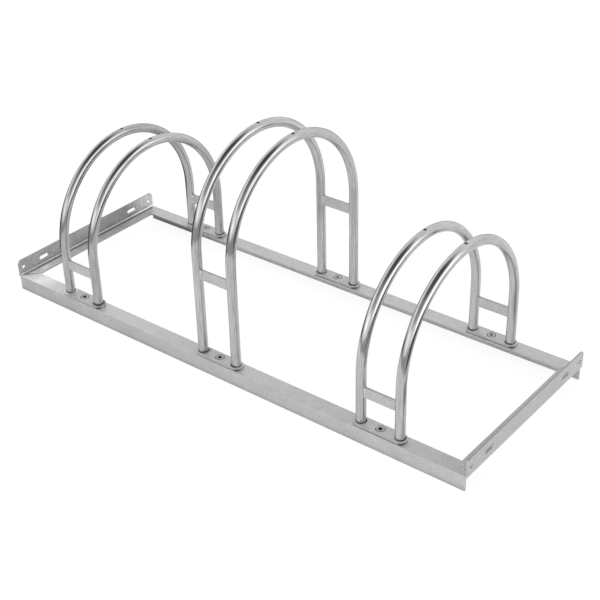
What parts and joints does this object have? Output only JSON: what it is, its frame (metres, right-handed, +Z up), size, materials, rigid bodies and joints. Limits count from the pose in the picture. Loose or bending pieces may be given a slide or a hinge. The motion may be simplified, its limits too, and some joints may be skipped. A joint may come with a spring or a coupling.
{
  "type": "floor bike rack",
  "caption": "Galvanised steel floor rack for bicycle wheels: an angle-iron base frame carries pairs of bent tube hoops, low and high in turn, screwed down at their foot plates.",
  "frame": {"origin": "on the floor under the middle of the rack", "axes": "+X along the rails to the right end, +Y to the rear, +Z up"},
  "size_m": [1.05, 0.38, 0.415],
  "materials": {
    "galvanised_angle": "hot-dip galvanised, matt grey with fine mottling",
    "galvanised_tube": "bright zinc, satin, drawn along the tube",
    "galvanised_flat": "hot-dip galvanised, matt",
    "zinc_fastener": "zinc plated"
  },
  "bodies": {
    "root": {"front_rail": "galvanised_angle", "rear_rail": "galvanised_angle", "left_end_angle": "galvanised_angle", "right_end_angle": "galvanised_angle", "left_holder_left_hoop": "galvanised_tube", "left_holder_right_hoop": "galvanised_tube", "left_holder_front_crossbar": "galvanised_flat", "left_holder_rear_crossbar": "galvanised_flat", "left_holder_front_foot_plate": "galvanised_flat", "left_holder_rear_foot_plate": "galvanised_flat", "middle_holder_left_hoop": "galvanised_tube", "middle_holder_right_hoop": "galvanised_tube", "middle_holder_front_crossbar": "galvanised_flat", "middle_holder_rear_crossbar": "galvanised_flat", "middle_holder_front_foot_plate": "galvanised_flat", "middle_holder_rear_foot_plate": "galvanised_flat", "right_holder_left_hoop": "galvanised_tube", "right_holder_right_hoop": "galvanised_tube", "right_holder_front_crossbar": "galvanised_flat", "right_holder_rear_crossbar": "galvanised_flat", "right_holder_front_foot_plate": "galvanised_flat", "right_holder_rear_foot_plate": "galvanised_flat", "foot_screws": "zinc_fastener", "foot_washers": "zinc_fastener", "foot_nuts": "zinc_fastener"}
  },
  "joints": []
}
